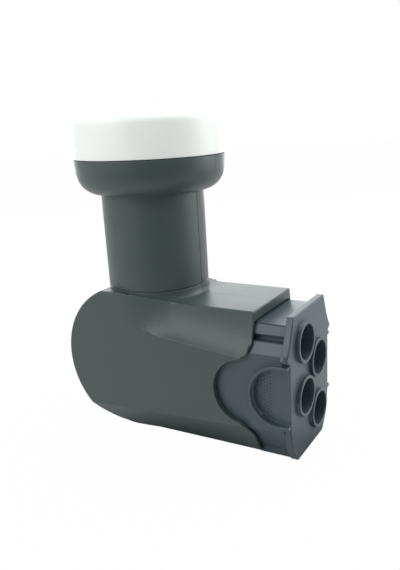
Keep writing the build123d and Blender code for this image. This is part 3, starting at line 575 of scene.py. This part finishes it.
def round_edges(piece, width, segments=3):
    """Rounds a piece's weighted edges with a modifier, and weights its normals by face."""
    bevel = piece.modifiers.new("edges", "BEVEL")
    bevel.width = width * MM
    bevel.segments = segments
    bevel.limit_method = "WEIGHT"
    bevel.use_clamp_overlap = False
    bevel.miter_outer = "MITER_ARC"
    bevel.harden_normals = True
    weight = piece.modifiers.new("weights", "WEIGHTED_NORMAL")
    weight.keep_sharp = True
    weight.weight = 80


# Pieces

def cap_profile():
    """Section of the cap, from its apex over the edge, down the side and back up inside."""
    edge_z = PARTING_Z + CAP_SIDE + CAP_EDGE_R
    edge_r = CAP_R - CAP_TAPER
    share = np.linspace(0.0, 1.0, 24)[:, None]
    apex = np.array([0.0, edge_z + CAP_DOME])
    rim = np.array([edge_r - CAP_EDGE_R, edge_z])
    bend = np.array([rim[0] / 2, apex[1]])
    dome = (1 - share) ** 2 * apex + 2 * share * (1 - share) * bend + share**2 * rim
    turn = np.linspace(0.0, math.pi / 2, 10)[1:, None]
    corner = rim - (0, CAP_EDGE_R) + CAP_EDGE_R * np.hstack((np.sin(turn), np.cos(turn)))
    bore_r = LIP_R + CAP_BORE_GAP
    foot_z = PARTING_Z + CAP_GAP
    side = round_corners(
        [corner[-1], (CAP_R, foot_z), (bore_r, foot_z), (bore_r, edge_z - CAP_BORE_DROP)], (0.35, 0.2)
    )
    inner = dome[::-1] - (0, CAP_WALL)
    return np.concatenate((dome, corner, side[1:], inner[1:]))


class HEAD_OT_horn_cap(bpy.types.Operator):
    """Add the white domed cap over the horn"""

    bl_idname = "head.horn_cap"
    bl_label = "Horn Cap"

    def execute(self, context):
        steps = context.scene.head_sizes.turn_steps
        angles = np.linspace(0.0, 2 * math.pi, steps, endpoint=False)
        points, faces = turn_profile(cap_profile(), angles)
        add_piece("cap_dome", points, faces, finishes["cap_plastic"], "root", "cap_plastic", "horn_cap")
        return {"FINISHED"}


def neck_profile():
    """Closed section of neck and bowl: up the outside, over the lip and down the bore."""
    share = np.linspace(0.0, 1.0, 18)[:, None]
    start = np.array([BOWL_FOOT_R, NECK_TOP])
    band = np.array([BOWL_R - BOWL_DRAFT, PARTING_Z - BOWL_BAND])
    bend = np.array([BOWL_R - BOWL_BEND_IN, NECK_TOP + BOWL_BEND_UP])
    bowl = (1 - share) ** 2 * start + 2 * share * (1 - share) * bend + share**2 * band
    lip = [(LIP_R, PARTING_Z), (LIP_R, LIP_TOP), (BOWL_BORE_R, LIP_TOP), (BOWL_BORE_R, BOWL_BORE_END)]
    rim = round_corners([band, (BOWL_R, PARTING_Z), *lip], (0.4, 0.1, 0.3, 0.3))
    bore_r = NECK_R - NECK_WALL
    turn = np.linspace(0.0, math.pi / 2, 8)[:, None]
    foot_end = np.array([NECK_R + FOOT_RUN, TOP_Z])
    foot = foot_end + np.hstack((-FOOT_RUN * np.sin(turn), (NECK_FOOT - TOP_Z) * (1 - np.cos(turn))))
    groove_r = NECK_R - FOOT_GROOVE
    groove_radii = (groove_r, groove_r, NECK_R)
    return np.concatenate((
        [(bore_r, NECK_SUNK), (NECK_R + FOOT_RUN, NECK_SUNK)], foot,
        [(radius, NECK_FOOT + rise) for radius, rise in zip(groove_radii, GROOVE_RISES)],
        [(NECK_R, NECK_TOP - BOWL_FILLET), (NECK_R + BOWL_FILLET, NECK_TOP)],
        bowl, rim[1:], [(bore_r, NECK_TOP + NECK_WALL)],
    ))


def half_turned(profile, sign, seam_depth, steps):
    """Half turn of a closed section, capped at the mid plane. Near the plane the outside dips:
    r less the depth times (1 - d / w) squared, where d is the distance from the plane."""
    spread = np.linspace(-1.0, 1.0, steps)
    crowded = 1 - (1 - np.abs(spread)) ** SEAM_CROWDING
    angles = sign * (math.pi / 2) * (1 + np.sign(spread) * crowded)
    radius, height = profile.T[:, :, None]
    away = radius * np.sin(np.abs(angles))
    depth = seam_depth * np.where(height > NECK_TOP, BOWL_SEAM_SHARE, 1.0)
    dip = depth * np.clip(1 - away / SEAM_WIDTH, 0.0, 1.0) ** 2
    lowered = radius - dip
    x = lowered * np.cos(angles)
    y = lowered * np.sin(angles)
    points = np.stack((x, y, np.broadcast_to(height, x.shape)), -1).reshape(-1, 3)
    rows = len(profile)
    wrapped = grid_faces(rows + 1, steps) % (rows * steps)
    ends = [list(range(0, rows * steps, steps)), list(range(steps - 1, rows * steps, steps))]
    return points, wrapped.tolist() + ends


class HEAD_OT_housing(bpy.types.Operator):
    """Add the two housing halves with neck and bowl"""

    bl_idname = "head.housing"
    bl_label = "Housing"

    def execute(self, context):
        sizes = context.scene.head_sizes
        finish = finishes["housing_plastic"]
        for side, sign in (("near", -1), ("far", 1)):
            shell = "shell_" + side
            mesh = merged_copy(shell, NECK_FOOT + CUT_RISE, RAMP_CUTS)
            move_points(mesh, even_top)
            weigh_edges(mesh, sizes.edge_radius / MM, outer_share)
            block = place_piece("block_" + side, mesh, finish, "root", "housing_plastic", shell)
            round_edges(block, sizes.edge_radius / MM)
            steps = sizes.turn_steps // 2 + 1
            points, faces = half_turned(neck_profile(), sign, sizes.seam_depth / MM, steps)
            add_piece("neck_" + side, points, faces, finish, "root", "housing_plastic", shell)
        return {"FINISHED"}


def smooth(value, low, high):
    """Share 3 t t - 2 t t t of the way from low to high."""
    way = np.clip((value - low) / (high - low), 0.0, 1.0)
    return way * way * (3 - 2 * way)


def packed_top(x):
    """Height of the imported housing's top along its length."""
    share = np.linspace(0.0, 1.0, 60)
    run = RAMP_END - RAMP_START
    rear = 3 * share * (1 - share) ** 2 * RAMP_BEND_REAR * run
    front = 3 * share**2 * (1 - share) * RAMP_BEND_FRONT * run
    across = rear + front + share**3 * run
    fall = 3 * share**2 * (1 - share) + share**3
    return np.interp(x, RAMP_START + across, NECK_FOOT + (TOP_Z - NECK_FOOT) * fall)


def even_top(x, y, z):
    """Housing with a longer, softer fall of its top, z = top + rise (1 - smooth(x)), and with
    flanks that lean in along one curve from the crease up to that top."""
    before = packed_top(x)
    after = TOP_Z + (NECK_FOOT - TOP_Z) * (1 - smooth(x, FLARE_START, FLARE_FULL))
    moved = z + (after - before) * np.clip((z - FADE_Z) / (before - FADE_Z), 0.0, 1.0)
    moved = np.minimum(moved, after)
    way = np.clip((x - FLARE_START) / (FLARE_FULL - FLARE_START), 0.0, 1.0)
    share = (1 - np.cos(math.pi * way)) / 2
    top_half = HOUSING_HALF - (HOUSING_HALF - RIM_TOP_HALF) * share
    ridge = TOP_Z - RIDGE_REAR - (RIDGE_FRONT - RIDGE_REAR) * (x - FLARE_START) / (RIM_X - FLARE_START)
    packed = lean(np.clip((z - ridge) / (TOP_Z - ridge), 0.0, 1.0), top_half, share)
    evened = lean(np.clip((moved - ridge) / (after - ridge), 0.0, 1.0), top_half, share)
    outer = (np.abs(y) > packed - FLANK_SKIN) & (z > ridge) & (x > FLARE_START)
    return x, np.where(outer, np.sign(y) * np.minimum(evened, HOUSING_HALF), y), moved


def lean(height, top_half, share):
    """Half width of the flank by its height from 0 at the crease to 1 at the top: the curve
    (1 - t) (1 - t) h + 2 t (1 - t) b + t t a, with t found from the height's own curve."""
    bend = 0.5 - 0.2 * share
    t = (np.sqrt(bend**2 + (1 - 2 * bend) * height + 1e-9) - bend) / (1 - 2 * bend + 1e-6)
    t = np.where(np.abs(1 - 2 * bend) < 1e-3, height, t)
    middle = top_half + FLARE_HOLLOW * share
    return (1 - t) ** 2 * HOUSING_HALF + 2 * t * (1 - t) * middle + t * t * top_half


def outer_share(x, y, z):
    """Full rounding outside, less round the scallop and along the seam, and none inside."""
    within = (z > BASE_Z + 0.5) & (z < TOP_Z - 0.5) & (x < RIM_X - 0.5) & (x > 0)
    under_neck = (np.hypot(x, y) < NECK_R + 0.1) & (z > TOP_Z - 2)
    inside = ((np.abs(y) < RIM_TOP_HALF - 1) & within) | under_neck
    scallop = np.abs(np.hypot(x - SCALLOP_X, z - SCALLOP_Z) - SCALLOP_R) < SCALLOP_BAND
    seam = np.where(np.abs(y) < 0.05, SEAM_EDGE_SHARE, 1.0)
    light = np.where(scallop & (np.abs(y) > SCALLOP_OUT), SCALLOP_EDGE_SHARE, seam)
    return np.where(inside, 0.0, light)


class HEAD_OT_weather_cover(bpy.types.Operator):
    """Add the sliding cover with its plate, sleeves and thumb grips"""

    bl_idname = "head.weather_cover"
    bl_label = "Weather Cover"

    def execute(self, context):
        finish = finishes["cover_plastic"]
        mesh = merged_copy("weather_cover")
        move_points(mesh, thick_plate)
        weigh_edges(mesh, COVER_EDGE, lips_share)
        skin = place_piece("cover_skin", mesh, finish, "cover", "cover_plastic", "weather_cover")
        round_edges(skin, COVER_EDGE)
        points, faces = thumb_dots()
        add_piece("thumb_dots", points, faces, finish, "cover", "cover_plastic", "weather_cover")
        return {"FINISHED"}


def thick_plate(x, y, z):
    """Cover with its plate's front face and rounded rim moved out between the sleeves' lips,
    and with the slanted floors of its thumb hollows y = a + b x moved outward."""
    front = (x > PLATE_FRONT - PLATE_RIM) & (x < PLATE_FRONT + 0.2)
    packed = PACKED_FLOOR + PACKED_SLOPE * (x - DOT_X)
    on_floor = (np.abs(np.abs(y) - packed) < 0.2) & (x < PLATE_BACK + 0.1)
    hollow = (np.hypot(x - THUMB_X, z - THUMB_Z) < THUMB_R) & on_floor
    level = THUMB_FLOOR + THUMB_SLOPE * (x - DOT_X)
    return np.where(front, x + PLATE_EXTRA, x), np.where(hollow, np.sign(y) * level, y), z


def lips_share(x, y, z):
    """Rounding of the sleeves' lips, the drawer's upper edges and the thumb grips' rims only."""
    lips = x > PLATE_FRONT + PLATE_EXTRA + 0.3
    upper = (z > DRAWER_TOP) & (x < PLATE_BACK - 0.5) & (np.abs(y) > DRAWER_HALF)
    around = np.hypot(x - THUMB_X, z - THUMB_Z)
    rims = (np.abs(around - GRIP_R) < GRIP_BAND) & (np.abs(y) > GRIP_OUT)
    return np.where(lips | upper | rims, 1.0, 0.0)


def thumb_dots():
    """Raised dots in each thumb hollow: domes x = r cos a, z = r sin a, y = h (1 - r r / R R),
    in staggered columns that keep inside the hollow's circle."""
    rows = np.arange(-DOT_ROWS, DOT_ROWS + 1)
    column, row, side = np.meshgrid(np.arange(DOT_COLUMNS), rows, (-1.0, 1.0), indexing="ij")
    across = DOT_X + column * DOT_PITCH
    up = THUMB_Z + (row + 0.5 * (column % 2)) * DOT_PITCH * DOT_ROW_STRETCH
    inside = np.hypot(across - THUMB_X, up - THUMB_Z) < DOT_REACH
    floor_y = side * (THUMB_FLOOR + THUMB_SLOPE * (across - DOT_X))
    middles = np.stack((across, floor_y, up), -1)[inside]
    radii = DOT_R * np.array([0.0, 1.0, 0.75, 0.45, 0.0])
    heights = np.where(np.arange(len(radii)) < 2, -DOT_SUNK, DOT_H * (1 - (radii / DOT_R) ** 2))
    angles = np.linspace(0.0, 2 * math.pi, DOT_SIDES, endpoint=False)
    dome, faces = turn_profile(np.stack((radii, heights), -1), angles)
    flip = np.stack((np.ones(len(middles)), side[inside], np.ones(len(middles))), -1)
    points = (middles[:, None] + dome[None, :, [0, 2, 1]] * flip[:, None]).reshape(-1, 3)
    return points, (faces[None] + len(dome) * np.arange(len(middles))[:, None, None]).reshape(-1, 4)


class HEAD_OT_inner_parts(bpy.types.Operator):
    """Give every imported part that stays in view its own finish"""

    bl_idname = "head.inner_parts"
    bl_label = "Inner Parts"

    def execute(self, context):
        slots = {part["node"]: part["material_slot"] for part in frame["record"]["subparts"]}
        for name, node in frame["nodes"].items():
            node.data.materials.clear()
            node.data.materials.append(finishes[slots[name]])
        return {"FINISHED"}


class HEAD_OT_stage(bpy.types.Operator):
    """Add the floor, the lamps, the white surround and the camera"""

    bl_idname = "head.stage"
    bl_label = "Stage"

    def execute(self, context):
        settings = context.scene.stage_settings
        add_floor(tuple(context.scene.head_colours.floor))
        add_world(settings)
        add_lamps(settings.lamp_level)
        add_camera(settings)
        context.scene.view_settings.view_transform = "Standard"
        return {"FINISHED"}


def add_floor(colour):
    """Round floor: x = r cos a and y = r sin a at the height of the part's foot."""
    radii = np.concatenate(([0.0], np.geomspace(FLOOR_CORE, FLOOR_R, 24)))
    angles = np.linspace(0.0, 2 * math.pi, 96, endpoint=False)
    points, faces = turn_profile([(radius, FLOOR_Z) for radius in radii], angles)
    mesh = bpy.data.meshes.new("floor")
    mesh.from_pydata((points * MM).tolist(), [], faces.tolist())
    mesh.materials.append(floor_finish(colour))
    floor = bpy.data.objects.new("floor", mesh)
    bpy.context.scene.collection.objects.link(floor)


def floor_finish(colour):
    """Grey floor that the camera sees as pure white but for a trace of its shadows. Gloss sees it glow
    white too, with painted shade on its part toward the room's dark side and a painted shadow under the
    object."""
    finish = Finish("floor_white", Roughness=0.9, Specular_IOR_Level=0.1)
    grain = finish.noise(30.0, 3.0)
    finish.feed("Base Color", finish.tint(grain, shade(colour, 0.97), colour))
    path = finish.node("ShaderNodeLightPath", output="Is Camera Ray")
    mirrored = Wire(finish, path.socket.node.outputs["Is Glossy Ray"])
    place = finish.node("ShaderNodeTexCoord", output="Object")
    vectors = "ShaderNodeVectorMath"
    # painted shade: gloss sees the floor's glow fade toward a fixed side
    front = finish.node(vectors, {"operation": "DOT_PRODUCT"}, {0: place, 1: PAINTED_SHADE_SIDE}, "Value")
    # painted shadow: gloss sees the floor's glow fade under the object
    middle = finish.node(vectors, {"operation": "MULTIPLY_ADD"}, {0: place, 1: SHADE_SCALE, 2: SHADE_SHIFT})
    away = finish.node(vectors, {"operation": "LENGTH"}, {0: middle}, "Value")
    sides = finish.ease(front, PAINTED_SHADE_FAR, PAINTED_SHADE_NEAR)
    seen = path + mirrored * finish.ease(away, SHADE_CORE, SHADE_EDGE) * sides
    glow = finish.node("ShaderNodeEmission", {}, {"Color": seen, "Strength": 1.0})
    share = path * FLOOR_GLOW + mirrored
    shader = Wire(finish, finish.shader.outputs[0])
    mixed = finish.node("ShaderNodeMixShader", {}, {0: share, 1: shader, 2: glow})
    output = finish.tree.nodes["Material Output"]
    finish.tree.links.new(mixed.socket, output.inputs["Surface"])
    return finish.material


def add_world(settings):
    """Surround that the camera sees as white, and that lights the object like a white room
    with one dark side: its strength falls smoothly round a fixed direction."""
    world = bpy.data.worlds.new("surround")
    bpy.context.scene.world = world
    world.use_nodes = True
    nodes = world.node_tree.nodes
    links = world.node_tree.links
    places = nodes.new("ShaderNodeTexCoord")
    toward = nodes.new("ShaderNodeVectorMath")
    toward.operation = "DOT_PRODUCT"
    direction = np.array(settings.dark_side) / np.linalg.norm(settings.dark_side)
    toward.inputs[1].default_value = direction.tolist()
    fall = nodes.new("ShaderNodeMapRange")
    fall.interpolation_type = "SMOOTHSTEP"
    fall.inputs["From Min"].default_value = math.cos(math.radians(DARK_EDGE))
    fall.inputs["From Max"].default_value = math.cos(math.radians(DARK_CORE))
    fall.inputs["To Min"].default_value = settings.room_level
    fall.inputs["To Max"].default_value = settings.dark_level
    light = nodes["Background"]
    light.inputs["Color"].default_value = ROOM_COLOUR
    seen = nodes.new("ShaderNodeBackground")
    seen.inputs["Color"].default_value = (1.0, 1.0, 1.0, 1.0)
    path = nodes.new("ShaderNodeLightPath")
    mixer = nodes.new("ShaderNodeMixShader")
    links.new(places.outputs["Generated"], toward.inputs[0])
    links.new(toward.outputs["Value"], fall.inputs["Value"])
    links.new(fall.outputs["Result"], light.inputs["Strength"])
    links.new(path.outputs["Is Camera Ray"], mixer.inputs[0])
    links.new(light.outputs[0], mixer.inputs[1])
    links.new(seen.outputs[0], mixer.inputs[2])
    links.new(mixer.outputs[0], nodes["World Output"].inputs["Surface"])


def add_lamps(level):
    """Soft boxes: name, place, size across and up, and power in watts; all aim at the object."""
    boxes = (
        ("top_box", (60.0, 200.0, 620.0), (520.0, 520.0), 2.0),
        ("right_box", (520.0, 400.0, 170.0), (420.0, 440.0), 2.1),
        ("left_box", (-170.0, -500.0, 240.0), (360.0, 360.0), 1.35),
        ("back_box", (-330.0, 520.0, 90.0), (900.0, 320.0), 2.6),
    )
    for name, place, size, power in boxes:
        data = bpy.data.lights.new(name, "AREA")
        data.shape = "RECTANGLE"
        data.size, data.size_y = size[0] * MM, size[1] * MM
        data.energy = power * level
        data.color = LAMP_COLOUR
        lamp = bpy.data.objects.new(name, data)
        bpy.context.scene.collection.objects.link(lamp)
        back = np.array(place) - np.array(LAMP_AIM)
        back = back / np.linalg.norm(back)
        right = np.cross((0.0, 0.0, 1.0), back)
        right = right / np.linalg.norm(right)
        lamp.matrix_world = frame_matrix(right, np.cross(back, right), back, np.array(place) * MM)


def frame_matrix(right, up, back, place):
    """Transform whose columns are three directions and a place."""
    columns = np.eye(4)
    columns[:3, 0] = right
    columns[:3, 1] = up
    columns[:3, 2] = back
    columns[:3, 3] = place
    return Matrix(columns.tolist())


def add_camera(settings):
    """Camera at the photograph's place, turned by its right and up directions."""
    data = bpy.data.cameras.new("camera")
    data.lens = settings.lens
    data.shift_x = settings.shift_x
    data.shift_y = settings.shift_y
    data.clip_start = 0.01
    data.clip_end = 50.0
    camera = bpy.data.objects.new("camera", data)
    bpy.context.scene.collection.objects.link(camera)
    right = np.array(settings.camera_right)
    right = right / np.linalg.norm(right)
    back = np.cross(right, np.array(settings.camera_up))
    back = back / np.linalg.norm(back)
    place = np.array(settings.camera_place)
    camera.matrix_world = frame_matrix(right, np.cross(back, right), back, place)
    bpy.context.scene.camera = camera


class HEAD_PT_panel(bpy.types.Panel):
    """Lists the pieces in the 3D view's sidebar"""

    bl_idname = "HEAD_PT_panel"
    bl_label = "Satellite Head"
    bl_space_type = "VIEW_3D"
    bl_region_type = "UI"
    bl_category = "Head"

    def draw(self, context):
        for group in (context.scene.head_sizes, context.scene.head_colours, context.scene.stage_settings):
            box = self.layout.box()
            for name in group.__annotations__:
                box.prop(group, name)
        for operator in OPERATORS:
            self.layout.operator(operator.bl_idname)


OPERATORS = (HEAD_OT_inner_parts, HEAD_OT_horn_cap, HEAD_OT_housing, HEAD_OT_weather_cover, HEAD_OT_stage)
CLASSES = (HeadSizes, HeadColours, StageSettings, *OPERATORS, HEAD_PT_panel)
finishes = {}


def register():
    for made in CLASSES:
        bpy.utils.register_class(made)
    bpy.types.Scene.head_sizes = PointerProperty(type=HeadSizes)
    bpy.types.Scene.head_colours = PointerProperty(type=HeadColours)
    bpy.types.Scene.stage_settings = PointerProperty(type=StageSettings)


def unregister():
    for name in ("head_sizes", "head_colours", "stage_settings"):
        delattr(bpy.types.Scene, name)
    for made in reversed(CLASSES):
        bpy.utils.unregister_class(made)


def main():
    """Registers the add-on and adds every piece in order."""
    register()
    finishes.update(make_finishes(bpy.context.scene.head_colours))
    bpy.ops.head.inner_parts()
    bpy.ops.head.horn_cap()
    bpy.ops.head.housing()
    bpy.ops.head.weather_cover()
    bpy.ops.head.stage()


if __name__ == "__main__":
    main()
